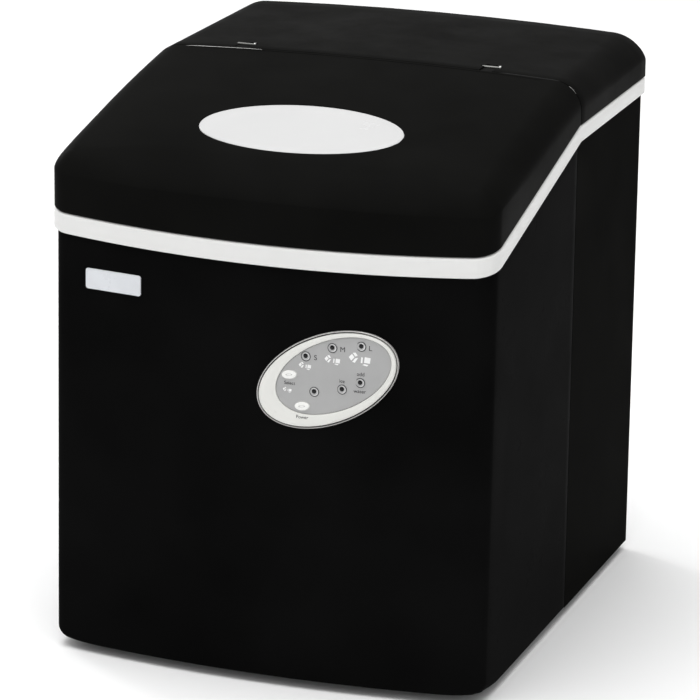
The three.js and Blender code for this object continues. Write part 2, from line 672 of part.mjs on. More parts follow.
function icePusher() {
  const { y, z, length, thickness, rod: r, halfX } = PUSHER;
  let comb = box(-halfX, y - thickness / 2, z - length, halfX, y + thickness / 2, z);
  for (let i = 0; i < FINGERS.count; i++) {
    const x = (i - (FINGERS.count - 1) / 2) * FINGERS.pitch;
    comb = comb.subtract(box(x - 4, y - 5, z - length + 5, x + 4, y + 5, z - 7));
  }
  return comb.add(rodX(-TUB.halfX - 1, TUB.halfX + 1, y, z, r, 10));
}

function evaporator() {
  const { halfX, halfY, bottom, top } = MANIFOLD;
  let made = box(-halfX, TRAY.y - halfY, bottom, halfX, TRAY.y + halfY, top);
  for (let i = 0; i < FINGERS.count; i++) {
    const x = (i - (FINGERS.count - 1) / 2) * FINGERS.pitch;
    const finger = turned(x, TRAY.y, [
      [0, FINGERS.tip],
      [FINGERS.r * 0.7, FINGERS.tip + 1.2],
      [FINGERS.r, FINGERS.tip + 4],
      [FINGERS.r, bottom + 2],
      [0, bottom + 2],
    ], 10);
    made = made.add(finger);
  }
  for (const x of [COLD_STUBS.suction, COLD_STUBS.hot_gas, COLD_STUBS.liquid]) {
    made = made.add(rodY(x, TRAY.y, 19, COLD_STUBS.z, COLD_STUBS.r, 10));
  }
  return made;
}

function buildIceChamber() {
  addPart(iceChamber, "inner_tub", innerTub(), material.innerPlastic);
  const jacketTop = 212;
  const jacket = raised(roundedRect(-133.5, -149, 133.5, 14, 20), TUB.bottom + 6, jacketTop).subtract(
    raised(roundedRect(-TUB.halfX - GAP, TUB.front - GAP, TUB.halfX + GAP, TUB.back + GAP, TUB.r), 140, 300),
  );
  addPart(iceChamber, "tub_insulation", jacket, material.foam);
  addPart(iceChamber, "ice_basket", iceBasket(), material.basketPlastic);
  addPart(iceChamber, "water_tray", waterTray(), material.greyPlastic);
  addPart(iceChamber, "ice_pusher", icePusher(), material.greyPlastic);
  addPart(iceChamber, "evaporator", evaporator(), material.nickel);

  const shaft = rodX(TRAY.halfX + 2 * GAP, 122, 0, 0, 3, 10);
  addPart(iceChamber, "tray_drive_shaft", shaft, material.steel).position.set(0, TRAY.y, TRAY.z);
  const gearbox = box(122.4, -24, -20, 134, 20, 20).add(rodX(133, 141, 8, 0, 12, 16));
  addPart(iceChamber, "tray_gear_motor", gearbox, material.aluminium).position.set(0, TRAY.y, TRAY.z);
  for (const [name, sign] of [["ice_sensor_left", -1], ["ice_sensor_right", 1]]) {
    const housing = box(112, -7, -9, TUB.halfX - TUB.wall - GAP, 7, 9);
    const sensor = flipped(sign, housing.add(rodX(111, 113, 0, 0, 2.5, 10)));
    addPart(iceChamber, name, sensor, material.lens).position.set(0, -100, 262);
  }
}

// ---------------------------------------------------------------- machinery

function fanBlades() {
  let fan = rodX(-7, 7, 0, 0, FAN.hub, 20);
  for (let i = 0; i < FAN.blades; i++) {
    const blade = new THREE.BoxGeometry(1.6, 26, FAN.r - FAN.hub + 3);
    blade.rotateZ(THREE.MathUtils.degToRad(58));
    blade.translate(0, 0, (FAN.r + FAN.hub - 3) / 2);
    blade.rotateX((2 * Math.PI * i) / FAN.blades);
    fan = fan.add(solid(blade));
  }
  return fan.subtract(rodX(-20, 20, 0, 0, 2.4 + GAP, 10));
}

function buildFan() {
  const reach = 57;
  const plate = box(12, -reach, -reach, 14, reach, reach);
  const shroud = plate
    .add(rodX(-8, 14, 0, 0, FAN.r + 4.5, 28))
    .subtract(rodX(-20, 30, 0, 0, FAN.r + 2.5, 28));
  addPart(machinery, "fan_shroud", shroud, material.blackPlastic).position.set(FAN.x, FAN.y, FAN.z);
  const corner = 50;
  let motor = rodX(-38, -12, 0, 0, 17, 20).add(rodX(-13, 9, 0, 0, 2.4, 10));
  const diagonal = new THREE.BoxGeometry(2, 12, 2 * corner * Math.SQRT2);
  const strap = solid(diagonal.translate(-37, 0, 0).rotateX(Math.PI / 4));
  motor = motor.add(strap);
  for (const sign of [-1, 1]) motor = motor.add(rodX(-38, 12 - GAP, -sign * corner, sign * corner, 3, 8));
  addPart(machinery, "fan_motor", motor, material.darkSteel).position.set(FAN.x, FAN.y, FAN.z);
  addPart(machinery, "fan_blade", fanBlades(), material.greyPlastic).position.set(FAN.x, FAN.y, FAN.z);
}

function buildRefrigeration() {
  const { x, y, r, bottom, top } = COMPRESSOR;
  const shell = turned(x, y, [
    [0, bottom],
    [r - 8, bottom],
    [r, bottom + 14],
    [r, top - 34],
    [r - 5, top - 16],
    [r - 20, top - 3],
    [0, top],
  ], 24);
  const plate = box(x - 56, y - 48, 22, x + 56, y + 48, bottom + 1);
  const stub = (sx, sy) => rodZ(sx, sy, 100, 146, 4, 10);
  const suctionAt = [40, 68];
  const dischargeAt = [90, 118];
  const terminals = box(x + 40, y - 20, 60, x + 62, y + 20, 96);
  const compressor = joined(shell, plate, terminals, stub(...suctionAt), stub(...dischargeAt));
  addPart(machinery, "compressor", compressor, material.darkSteel);
  [[-1, -1], [1, -1], [0, 1]].forEach(([sx, sy], i) => {
    const mount = addPart(machinery, `compressor_mount_${i + 1}`, rodZ(0, 0, 0, 12.4, 6, 10), material.rubber);
    mount.position.set(x + sx * 46, y + sy * 38, 9.2);
  });

  const fins = [];
  for (let z = CONDENSER.bottom + 4; z < CONDENSER.top - 4; z += 8) {
    const { x: cx, y: cy, halfX, halfY } = CONDENSER;
    fins.push(box(cx - halfX - 1, cy - halfY + 6, z, cx - 4, cy + halfY - 6, z + 4));
    fins.push(box(cx + 4, cy - halfY + 6, z, cx + halfX + 1, cy + halfY - 6, z + 4));
  }
  const { x: cx, y: cy, halfX, halfY } = CONDENSER;
  const outletAt = [cx, cy - 40];
  const inletAt = [cx, cy + 30];
  const condenser = box(cx - halfX, cy - halfY, CONDENSER.bottom, cx + halfX, cy + halfY, CONDENSER.top)
    .subtract(joined(...fins))
    .add(rodZ(...outletAt, 140, 152, 3.4, 10))
    .add(rodZ(...inletAt, 140, 152, 3.4, 10));
  addPart(machinery, "condenser", condenser, material.aluminium);

  const drier = turned(...outletAt, [
    [0, 152.5],
    [3.4, 152.5],
    [3.4, 158],
    [9, 166],
    [9, 206],
    [3, 214],
    [3, 220],
    [0, 220],
  ], 14);
  addPart(machinery, "filter_drier", drier, material.copper);

  const backOfTub = 19.5;
  const z = COLD_STUBS.z;
  const { suction, hot_gas: hotGas, liquid } = COLD_STUBS;
  const line = (name, corners, radius, bend, steps) =>
    addPart(machinery, name, pipe(corners, radius, bend, steps), material.copper);
  line(
    "discharge_line",
    [[...dischargeAt, 146.5], [...dischargeAt, 178], [...inletAt, 178], [...inletAt, 152.5]],
    3,
    16,
    26,
  );
  line(
    "suction_line",
    [[suction, backOfTub, z], [suction, 68, z], [suctionAt[0], 68, z], [...suctionAt, 146.5]],
    3,
    14,
    26,
  );
  line(
    "liquid_line",
    [[...outletAt, 220.5], [...outletAt, z], [liquid, 55, z], [liquid, backOfTub, z]],
    2,
    14,
    24,
  );
  line(
    "hot_gas_line",
    [[hotGas, 108.8, 210], [hotGas, 44, 210], [hotGas, 44, z], [hotGas, backOfTub, z]],
    3,
    12,
    20,
  );
  const valve = joined(
    box(-9, -9, -14, 9, 9, 6),
    rodZ(0, 0, 4, 30, 11, 14),
    rodY(0, -14, 0, -4, 3, 10),
    rodZ(0, 0, -32.5, -12, 3, 10),
  );
  addPart(machinery, "hot_gas_valve", valve, material.nickel).position.set(0, 123.3, 214);
}

function buildWaterCircuit() {
  const { x, y, r, bottom, top } = PUMP;
  const pump = joined(
    rodZ(x, y, bottom, top, r, 20),
    rodZ(x, y, top - 1, TUB.bottom - GAP, 7, 12),
    rodX(x - r - 10, x, y, 130, 3.4, 10),
  );
  addPart(machinery, "water_pump", pump, material.greyPlastic);
  const hose = { side: -138.4, low: 130, high: 268, end: -28 };
  const hoseRoute = [
    [x - r - 10.5, y, hose.low],
    [hose.side, y, hose.low],
    [hose.side, y, hose.high],
    [hose.side, hose.end, hose.high],
    [-88, hose.end, hose.high],
  ];
  addPart(machinery, "fill_hose", pipe(hoseRoute, HOSE_R, 14, 44), material.silicone);
  const tube = rodZ(DRAIN.x, DRAIN.y, BODY_BOTTOM + 0.8, TUB.bottom - GAP, DRAIN.r, 14).subtract(
    rodZ(DRAIN.x, DRAIN.y, 0, 160, DRAIN.bore, 14),
  );
  addPart(machinery, "drain_tube", tube, material.silicone);
  const cap = rodZ(0, 0, 1.4, BODY_BOTTOM + 0.3, 12, 20).add(rodZ(0, 0, 5, 17, DRAIN.bore - GAP, 14));
  addPart(machinery, "drain_cap", cap, material.rubber).position.set(DRAIN.x, DRAIN.y, 0);
}

buildCabinet();
buildLid();
buildControls();
buildIceChamber();
buildFan();
buildRefrigeration();
buildWaterCircuit();

export default iceMaker;
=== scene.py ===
"""A countertop ice maker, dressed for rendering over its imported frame.

Lengths are millimetres in the builders, and metres for the lights, the floor and the camera.
"""

import math

import bmesh
import bpy
from mathutils import Matrix, Vector


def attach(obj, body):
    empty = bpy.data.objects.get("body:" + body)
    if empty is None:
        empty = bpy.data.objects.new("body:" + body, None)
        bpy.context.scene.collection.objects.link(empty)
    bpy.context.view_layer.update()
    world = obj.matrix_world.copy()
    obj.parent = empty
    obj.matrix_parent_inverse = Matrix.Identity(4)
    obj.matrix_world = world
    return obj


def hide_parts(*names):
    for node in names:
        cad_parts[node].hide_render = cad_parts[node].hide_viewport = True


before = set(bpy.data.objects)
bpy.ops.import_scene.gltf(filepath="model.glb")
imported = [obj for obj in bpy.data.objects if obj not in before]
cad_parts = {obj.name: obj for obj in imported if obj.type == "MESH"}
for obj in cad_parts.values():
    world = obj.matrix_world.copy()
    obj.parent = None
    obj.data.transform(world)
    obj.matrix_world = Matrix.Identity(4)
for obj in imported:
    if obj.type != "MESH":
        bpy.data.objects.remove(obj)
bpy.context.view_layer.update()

MM = 0.001
Q = math.pi / 2

# ---------------------------------------------------------------- dimensions, in millimetres

HALF_W = 145
HALF_D = 166
BOW_R = 770
BOW_Y = BOW_R - HALF_D
CORNER_R = 15
FRONT_CORNER_Y = -148
REAR_R = 1
SHELL_WALL = 2.5
BAND_SLOPE = 0.2537
BAND_BOTTOM = 322.8
BAND_KNEE_Y = 21.3
BAND_TOP_REAR = 333.7
BAND_TOP_SLOPE = 0.2459
BAND_TOP_KNEE_Y = 19.9
BAND_PROUD = 2.3
BAND_GAP = 0.4
SEAM_Y = 21.3
TOP_Z = 365
TOP_PROUD = 2.0
EDGE_R = 18
CROWN_R = 2560
LID_KNEE_Y = 20
LID_SLOPE = 0.131
LID_ARCH_R = 1450
LID_BACK_Y = 19.7
COVER_FRONT_Y = 21.1
COVER_BACK_Y = 168.3
WINDOW = (0.3, -96.8, 67.0, 33.4)
WINDOW_TURN = math.radians(1.8)
TILT = math.radians(25.5)
HINGES = {"left": -86.7, "right": 82.1}
HINGE_Y, HINGE_Z = 34.0, 362.8
BEZEL = (44.2, 205.8, 47.0, 26.9)
FACE = (48.4, 208.9, 39.3, 22.0)
FACE_PROUD = 1.5
BEZEL_PROUD = 2.25

CORNER_STEPS = 12
BOW_STEPS = 48
OVAL_STEPS = 96


def band_bottom(y):
    return BAND_BOTTOM - max(0.0, BAND_KNEE_Y - y) * BAND_SLOPE


def band_top(y):
    return BAND_TOP_REAR - max(0.0, BAND_TOP_KNEE_Y - y) * BAND_TOP_SLOPE


def cover_top(x):
    return TOP_Z - x * x / (2 * CROWN_R)


def lid_top(x, y):
    s = LID_KNEE_Y - y
    return cover_top(x) - LID_SLOPE * s - s * s / (2 * LID_ARCH_R)


def front_y(x):
    return BOW_Y - math.sqrt(BOW_R**2 - x * x)


# ---------------------------------------------------------------- mesh helpers


def arc(cx, cy, r, a0, a1, steps):
    return [
        (cx + r * math.cos(a0 + (a1 - a0) * i / steps), cy + r * math.sin(a0 + (a1 - a0) * i / steps))
        for i in range(steps + 1)
    ]


def corner_centre(corner_r=CORNER_R):
    """The right front corner's centre in plan, which is the same at every offset of the outline."""
    cx = HALF_W - corner_r
    return cx, BOW_Y - math.sqrt((BOW_R - corner_r) ** 2 - cx * cx)


def front_path(offset, side_ys, corner_r=CORNER_R):
    """The outline from the left side's rear point round the bowed front to the right side's rear point."""
    half, corner, bow = HALF_W + offset, corner_r + offset, BOW_R + offset
    cx, cy = corner_centre(corner_r)
    end = math.asin(cx / (BOW_R - corner_r))
    right = arc(cx, cy, corner, -Q + end, 0, CORNER_STEPS) + [(half, y) for y in side_ys]
    left = [(-x, y) for x, y in reversed(right)]
    return left + arc(0, BOW_Y, bow, -Q - end, -Q + end, BOW_STEPS)[1:-1] + right


def closed_path(offset):
    """The whole plan outline, with the flat back."""
    r = max(REAR_R + offset, 1.0)
    half, back_y = HALF_W + offset, HALF_D + offset
    corner = arc(half - r, back_y - r, r, 0, Q, 6)
    back = [(half * k, back_y) for k in (0.6, 0.2)]
    rear = corner + back
    return front_path(offset, PLANE_YS) + rear + [(-x, y) for x, y in reversed(rear)]


def edge_curve(reach, drop, soft, share):
    """How far a rounded edge is in from the wall and below the top, by its share of the way up.

    A softness of 2 is a circle. A smaller one falls from the top sooner and meets the wall more tightly.
    """
    a = Q * share
    return reach * (1 - math.cos(a)), drop * (1 - math.sin(a) ** (2 / soft))


def build(name, verts, faces, material, body, replaces, slot, smooth):
    """A mesh piece from millimetre points, riding on a body and standing in for the listed nodes."""
    mesh = bpy.data.meshes.new(name)
    mesh.from_pydata([Vector(v) * MM for v in verts], [], faces)
    mesh.validate()
    bm = bmesh.new()
    bm.from_mesh(mesh)
    bmesh.ops.remove_doubles(bm, verts=bm.verts, dist=1e-6)
    bmesh.ops.recalc_face_normals(bm, faces=bm.faces)
    bm.to_mesh(mesh)
    bm.free()
    return finish_piece(bpy.data.objects.new(name, mesh), material, body, replaces, smooth)


def finish_piece(obj, material, body, replaces, smooth):
    bpy.context.scene.collection.objects.link(obj)
    obj.data.materials.clear()
    obj.data.materials.append(material)
    shade(obj, smooth)
    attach(obj, body)
    for node in replaces:
        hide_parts(node)
    return obj


def shade(obj, degrees):
    """Smooth shading, kept sharp where two faces meet at more than the given angle."""
    mesh = obj.data
    bm = bmesh.new()
    bm.from_mesh(mesh)
    for face in bm.faces:
        face.smooth = True
    for edge in bm.edges:
        edge.smooth = len(edge.link_faces) == 2 and edge.calc_face_angle(0) < math.radians(degrees)
    bm.to_mesh(mesh)
    bm.free()


def grid_faces(rows, cols, wrap_rows=False):
    """Quads between neighbouring rows. The columns wrap round, and so can the rows."""
    faces = []
    for r in range(rows if wrap_rows else rows - 1):
        for c in range(cols):
            a, b = r * cols + c, r * cols + (c + 1) % cols
            n = (r + 1) % rows * cols
            faces.append((a, b, n + (c + 1) % cols, n + c))
    return faces


def sweep(path, profile):
    """A closed band swept round the plan.

    path(offset) gives the stations, and the profile's pairs are an offset and a function from y to z.
    """
    lines = [path(offset) for offset, _ in profile]
    verts = []
    for i in range(len(lines[0])):
        for line, (_, z) in zip(lines, profile):
            x, y = line[i]
            verts.append((x, y, z(y)))
    return verts, grid_faces(len(lines[0]), len(profile), wrap_rows=True)


def rings(ring_list, cap_first=False, cap_last=False):
    """A lofted skin through closed rings of equal length."""
    count = len(ring_list[0])
    verts = [p for ring in ring_list for p in ring]
    faces = grid_faces(len(ring_list), count)
    if cap_first:
        faces.append(tuple(range(count)))
    if cap_last:
        faces.append(tuple((len(ring_list) - 1) * count + k for k in range(count)))
    return verts, faces


def turned(profile, steps):
    """A solid of revolution round Z from (radius, height) pairs."""
    ring_list = [[(r * math.cos(a), r * math.sin(a), z) for a in angles(steps)] for r, z in profile]
    return rings(ring_list, cap_first=True, cap_last=True)


def angles(steps):
    return [2 * math.pi * i / steps for i in range(steps)]


def moved(points, matrix):
    return [tuple(matrix @ Vector(p)) for p in points]


def ellipse_point(centre_x, centre_z, a, b, t, tilt=TILT):
    u, v = a * math.cos(t), b * math.sin(t)
    return (
        centre_x + u * math.cos(tilt) - v * math.sin(tilt),
        centre_z + u * math.sin(tilt) + v * math.cos(tilt),
    )


def on_front(x, z, height):
    """A point on the bowed front, height in front of it."""
    return (x, front_y(x) - height, z)


def cut(obj, verts, faces):
    """Cuts a solid out of a piece, and keeps only the result."""
    mesh = bpy.data.meshes.new("cutter")
    mesh.from_pydata([Vector(v) * MM for v in verts], [], faces)
    bm = bmesh.new()
    bm.from_mesh(mesh)
    bmesh.ops.recalc_face_normals(bm, faces=bm.faces)
    bm.to_mesh(mesh)
    bm.free()
    cutter = bpy.data.objects.new("cutter", mesh)
    bpy.context.scene.collection.objects.link(cutter)
    modifier = obj.modifiers.new("cut", "BOOLEAN")
    modifier.operation = "DIFFERENCE"
    modifier.solver = "EXACT"
    modifier.object = cutter
    depsgraph = bpy.context.evaluated_depsgraph_get()
    result = bpy.data.meshes.new_from_object(obj.evaluated_get(depsgraph))
    obj.modifiers.remove(modifier)
    obj.data = result
    bpy.data.objects.remove(cutter)


def box_solid(x0, y0, z0, x1, y1, z1):
    verts = [(x, y, z) for x in (x0, x1) for y in (y0, y1) for z in (z0, z1)]
    faces = [(0, 1, 3, 2), (4, 6, 7, 5), (0, 4, 5, 1), (2, 3, 7, 6), (0, 2, 6, 4), (1, 5, 7, 3)]
    return verts, faces


# ---------------------------------------------------------------- materials


def new_material(name):
    mat = bpy.data.materials.new(name)
    mat.use_nodes = True
    tree = mat.node_tree
    return mat, tree, tree.nodes["Principled BSDF"]


def noise(tree, coords, scale, detail=4.0, rough=0.55):
    node = tree.nodes.new("ShaderNodeTexNoise")
    node.inputs["Scale"].default_value = scale
    node.inputs["Detail"].default_value = detail
    node.inputs["Roughness"].default_value = rough
    tree.links.new(coords, node.inputs["Vector"])
    return node.outputs["Fac"]


def ramp(tree, fac, low, high, start=0.35, end=0.65):
    node = tree.nodes.new("ShaderNodeMapRange")
    node.inputs["From Min"].default_value = start
    node.inputs["From Max"].default_value = end
    node.inputs["To Min"].default_value = low
    node.inputs["To Max"].default_value = high
    tree.links.new(fac, node.inputs["Value"])
    return node.outputs["Result"]


def tinted(tree, fac, dark, light):
    node = tree.nodes.new("ShaderNodeMix")
    node.data_type = "RGBA"
    node.inputs["A"].default_value = (*dark, 1)
    node.inputs["B"].default_value = (*light, 1)
    tree.links.new(fac, node.inputs["Factor"])
    return node.outputs["Result"]


RELIEF_DEPTH = 0.0004
SMUDGE_SCALE = 2.3
COAT_ROUGHNESS = 0.12


def surface(
    name,
    color,
    roughness,
    metallic=0.0,
    specular=0.5,
    spread=0.08,
    grain=900.0,
    bump=0.04,
    rough_spread=0.06,
    mottle=35.0,
    coat=0.0,
    stretch=(1, 1, 1),
):
    """A moulded, painted or metal surface: slow colour variation, uneven gloss and a fine grain."""
    mat, tree, shader = new_material(name)
    place = tree.nodes.new("ShaderNodeTexCoord")
    mapping = tree.nodes.new("ShaderNodeMapping")
    mapping.inputs["Scale"].default_value = stretch
    tree.links.new(place.outputs["Object"], mapping.inputs["Vector"])
    coords = mapping.outputs["Vector"]
    slow = noise(tree, coords, mottle, 3.0)
    fine = noise(tree, coords, grain, 2.0)
    dark = [c * (1 - spread) for c in color]
    light = [min(1.0, c * (1 + spread)) for c in color]
    tree.links.new(tinted(tree, ramp(tree, slow, 0, 1), dark, light), shader.inputs["Base Color"])
    smudge = noise(tree, coords, mottle * SMUDGE_SCALE, 5.0, 0.65)
    least, most = max(0.02, roughness - rough_spread), min(1.0, roughness + rough_spread)
    tree.links.new(ramp(tree, smudge, least, most, 0.3, 0.7), shader.inputs["Roughness"])
    relief = tree.nodes.new("ShaderNodeBump")
    relief.inputs["Strength"].default_value = bump
    relief.inputs["Distance"].default_value = RELIEF_DEPTH
    tree.links.new(fine, relief.inputs["Height"])
    tree.links.new(relief.outputs["Normal"], shader.inputs["Normal"])
    shader.inputs["Metallic"].default_value = metallic
    shader.inputs["Specular IOR Level"].default_value = specular
    shader.inputs["Coat Weight"].default_value = coat
    shader.inputs["Coat Roughness"].default_value = COAT_ROUGHNESS
    return mat


BLACK = surface(
    "black_plastic",
    (0.0039, 0.0039, 0.0039),
    0.3,
    specular=0.0008,
    spread=0.2,
    grain=2600,
    bump=0.03,
    mottle=9,
)
# A lighter copy of the black plastic for the lid, the rear cover and the hinge hooks: painted light on the
# upper parts.
BLACK_PAINTED_LIT = surface(
    "black_painted_lit", (0.0049, 0.0049, 0.0046), 0.4, specular=0.005, spread=0.15, grain=2600, bump=0.05, mottle=11
)
# A darker copy of the black plastic for the rear housing: painted shade on the sides and back.
BLACK_PAINTED_SHADE = surface(
    "black_painted_shade",
    (0.0034, 0.0034, 0.003),
    0.42,
    specular=0.0008,
    spread=0.2,
    grain=2200,
    bump=0.08,
    rough_spread=0.03,
    mottle=9,
)
BEAD = surface("cover_bead", (0.004, 0.004, 0.004), 0.3, specular=0.12, spread=0.2, grain=900, bump=0.01)
# Bright metal for short edge strips: a painted highlight, not wear.
PAINTED_HIGHLIGHT = surface("painted_highlight_bead", (0.32, 0.32, 0.31), 0.25, metallic=0.9, spread=0.2, grain=900, bump=0.01)
PIN_STEEL = surface("pin_steel", (0.12, 0.12, 0.115), 0.3, metallic=1.0, spread=0.15, grain=900, bump=0.02)
PIN_HEAD = surface("pin_head", (0.34, 0.34, 0.33), 0.25, metallic=1.0, spread=0.15, grain=900, bump=0.02)
BAND = surface("white_trim", (0.74, 0.74, 0.73), 0.34, specular=0.3, spread=0.012, grain=2600, bump=0.01)
WINDOW_MAT = surface(
    "window_pane", (0.53, 0.53, 0.53), 0.22, specular=0.4, spread=0.015, grain=500, bump=0.008, mottle=14
)
BEZEL_MAT = surface("bezel_white", (0.73, 0.73, 0.7), 0.3, spread=0.015, grain=2600, bump=0.01)
RING_MAT = surface("bezel_ring", (0.5, 0.49, 0.48), 0.3, metallic=0.35, spread=0.1, grain=700, bump=0.02)
FACE_MAT = surface("face_grey", (0.385, 0.385, 0.385), 0.42, spread=0.03, grain=2400, bump=0.05)
BUTTON_MAT = surface("button_white", (0.86, 0.86, 0.84), 0.28, spread=0.02, grain=900, bump=0.02)
SURROUND_MAT = surface("key_surround", (0.5, 0.5, 0.49), 0.35, spread=0.03, grain=900, bump=0.02)
PRINT_WHITE = surface("print_white", (0.85, 0.85, 0.85), 0.45, spread=0.02)
PRINT_DARK = surface("print_dark", (0.02, 0.02, 0.022), 0.5, spread=0.1)
LENS_MAT = surface("lamp_lens", (0.004, 0.004, 0.005), 0.1, specular=0.25, spread=0.2, grain=300, bump=0.01)
RIM_MAT = surface("lamp_rim", (0.035, 0.038, 0.04), 0.35, spread=0.1)
COLLAR_MAT = surface("lamp_collar", (0.62, 0.62, 0.62), 0.35, spread=0.05)
BADGE_MAT = surface("badge_plate", (0.67, 0.69, 0.72), 0.3, spread=0.03, grain=900, bump=0.02)
RUBBER = surface("rubber", (0.018, 0.018, 0.018), 0.75, spread=0.25, grain=800, bump=0.35)
TUB_MAT = surface("inner_plastic", (0.66, 0.69, 0.71), 0.34, spread=0.03, grain=700, bump=0.05)
BASKET_MAT = surface("basket_plastic", (0.5, 0.56, 0.6), 0.24, spread=0.04, grain=600, bump=0.04)
GREY_MAT = surface("grey_plastic", (0.22, 0.235, 0.25), 0.4, spread=0.06, grain=800, bump=0.08)
STEEL = surface("steel", (0.55, 0.56, 0.57), 0.26, metallic=1.0, grain=500, bump=0.05, stretch=(1, 1, 12))
DARK_STEEL = surface("dark_steel", (0.028, 0.03, 0.033), 0.42, spread=0.15, grain=700, bump=0.2, coat=0.2)
NICKEL = surface("nickel", (0.62, 0.59, 0.54), 0.2, metallic=1.0, grain=500, bump=0.05)
COPPER = surface("copper", (0.62, 0.27, 0.14), 0.3, metallic=1.0, spread=0.2, grain=600, bump=0.05)
ALUMINIUM = surface(
    "aluminium", (0.6, 0.61, 0.62), 0.36, metallic=1.0, grain=500, bump=0.08, stretch=(8, 1, 1)
)
FOAM = surface("foam", (0.62, 0.54, 0.36), 0.85, spread=0.15, grain=420, bump=0.7)
SILICONE = surface("silicone", (0.66, 0.69, 0.68), 0.4, spread=0.05, grain=500, bump=0.05)
BOARD = surface("board", (0.02, 0.1, 0.035), 0.3, spread=0.2, grain=700, bump=0.1)

# ---------------------------------------------------------------- housing

SIDE_YS = [-134, -124, -110, -80, -50, -20, 5, 14]
PLANE_YS = [-134, -124, -110, -80, -50, -20, 5, 16, 19.9, 21.3, 26, 50, 80, 110, 140, 158]
BOTTOM = 6.0
FOOT_CORNER_R = 10.0
FOOT_ROUND = 1.2
FOOT_CORNER_ROUND = 6.5
FOOT_CORNER_SPAN = 14
SEAM_GAP = 0.15
BAND_INNER = -6
BAND_CHAMFER = 0.5
BAND_ROUND = 1.6
COVER_STEPS = 14


def front_housing():
    """The front shell's outer and inner wall.

    The upright corners tighten towards the foot. The foot is rounded off, most of all at the two corners.
    """
    ys = SIDE_YS + [SEAM_Y - 0.9, SEAM_Y - SEAM_GAP]
    inner = front_path(-SHELL_WALL, ys, FOOT_CORNER_R)
    levels = [0.0, 0.12, 0.3, 0.5, 0.7, 0.9, 1.0]
    walls = [front_path(0, ys, FOOT_CORNER_R + (CORNER_R + 1 - FOOT_CORNER_R) * k) for k in levels]
    steps = 7
    verts = []
    for i, (ix, iy) in enumerate(inner):
        x, y = walls[0][i]
        away = math.hypot(abs(x) - HALF_W, y - FRONT_CORNER_Y) / FOOT_CORNER_SPAN
        r = FOOT_ROUND + FOOT_CORNER_ROUND * math.exp(-away * away)
        pinch = SEAM_GAP if i in (0, len(inner) - 1) else 0.0
        out = Vector((x - ix, y - iy)).normalized()
        top = band_bottom(walls[-1][i][1]) - BAND_GAP
        column = [(ix, iy, BOTTOM + 1.5)]
        for k in range(steps):
            a = Q * k / steps
            d = r * (1 - math.sin(a)) + pinch
            column.append((x - out.x * d, y - out.y * d, BOTTOM + r * (1 - math.cos(a))))
        for k, wall in zip(levels, walls):
            wx, wy = wall[i]
            column.append((wx - out.x * pinch, wy - out.y * pinch, BOTTOM + r + (top - BOTTOM - r) * k))
        column.append((ix, iy, top))
        verts += column
    count = len(verts) // len(inner)
    faces = grid_faces(len(inner), count)
    faces += [tuple(range(count)), tuple((len(inner) - 1) * count + k for k in range(count))]
    build("front_housing_skin", verts, faces, BLACK, "cabinet", ["front_housing"], "black_plastic", 30)


def trim_band():
    """The white band, chamfered along its lower edge and rounded along its upper one."""

    def lifted(base, dz):
        return lambda y: base(y) + dz

    profile = [
        (BAND_INNER, lifted(band_bottom, 0)),
        (BAND_PROUD - BAND_CHAMFER, lifted(band_bottom, 0)),
        (BAND_PROUD, lifted(band_bottom, BAND_CHAMFER)),
    ]
    for k in range(6):
        a = Q * k / 5
        drop = BAND_ROUND * (1 - math.sin(a))
        profile.append((BAND_PROUD - BAND_ROUND * (1 - math.cos(a)), lifted(band_top, -drop)))
    profile.append((BAND_INNER, lifted(band_top, 0)))
    verts, faces = sweep(closed_path, profile)
    build("trim_band_moulding", verts, faces, BAND, "cabinet", ["trim_band"], "white_trim", 50)


def cover_ring(y, inset):
    """The crowned section of the rear cover at y, pulled inwards by inset.

    Its side rounds get wider and lower towards the back.
    """
    growth = (y - COVER_FRONT_Y) / (COVER_BACK_Y - COVER_FRONT_Y)
    half = HALF_W + TOP_PROUD - inset
    reach, drop, soft = EDGE_R + 5 * growth - inset, EDGE_R - 2.5 * growth - inset, 2 - 0.5 * growth
    side = [(half, BAND_TOP_REAR + BAND_GAP)]
    for k in range(COVER_STEPS + 1):
        inwards, down = edge_curve(reach, drop, soft, k / COVER_STEPS)
        side.append((half - inwards, cover_top(half - inwards) - inset - down))
    crown = [(k * (half - reach), cover_top(k * (half - reach)) - inset) for k in (0.85, 0.6, 0.3, 0)]
    right = side + crown
    section = right + [(-x, z) for x, z in reversed(right[:-1])]
    return [(x, y, z) for x, z in section]


def rear_cover():
    """The rear cover's shell, with a slot for each lid hook and a saddle for each pin and its head."""
    front, back = COVER_FRONT_Y, COVER_BACK_Y
    lip = 0.7
    stops = [(front + 0.5, SHELL_WALL), (front, 1.9), (front, lip), (front + 0.25 * lip, 0.25 * lip)]
    stops += [(front + lip, 0)] + [(y, 0) for y in (30, 45, 80, 120, 155)]
    stops += [(back - 1.2, 0), (back - 0.35, 0.35), (back, 1.2)]
    verts, faces = rings([cover_ring(y, inset) for y, inset in stops], cap_last=True)
    inner = [cover_ring(y, SHELL_WALL) for y in (front + 0.5, 90, back - SHELL_WALL)]
    more, more_faces = rings(inner, cap_last=True)
    faces += [tuple(k + len(verts) for k in reversed(f)) for f in more_faces]
    verts += more
    replaced = ["rear_top_cover"]
    cover = build("rear_cover_shell", verts, faces, BLACK_PAINTED_LIT, "cabinet", replaced, "black_plastic", 28)
    slot, saddle, saddle_z, above = 4.6, 7, 360, 380
    for x in HINGES.values():
        cut(cover, *box_solid(x - slot, 10, 352, x + slot, 37.7, above))
        cut(cover, *box_solid(x - saddle, HINGE_Y - 1.6, saddle_z, x + saddle, HINGE_Y + 1.6, above))
        cut(cover, *box_solid(x + 4.4, HINGE_Y - 2.2, saddle_z, x + saddle, HINGE_Y + 2.2, above))
    cover.data.materials.clear()
    cover.data.materials.append(BLACK_PAINTED_LIT)
    shade(cover, 28)
    edge_beads()


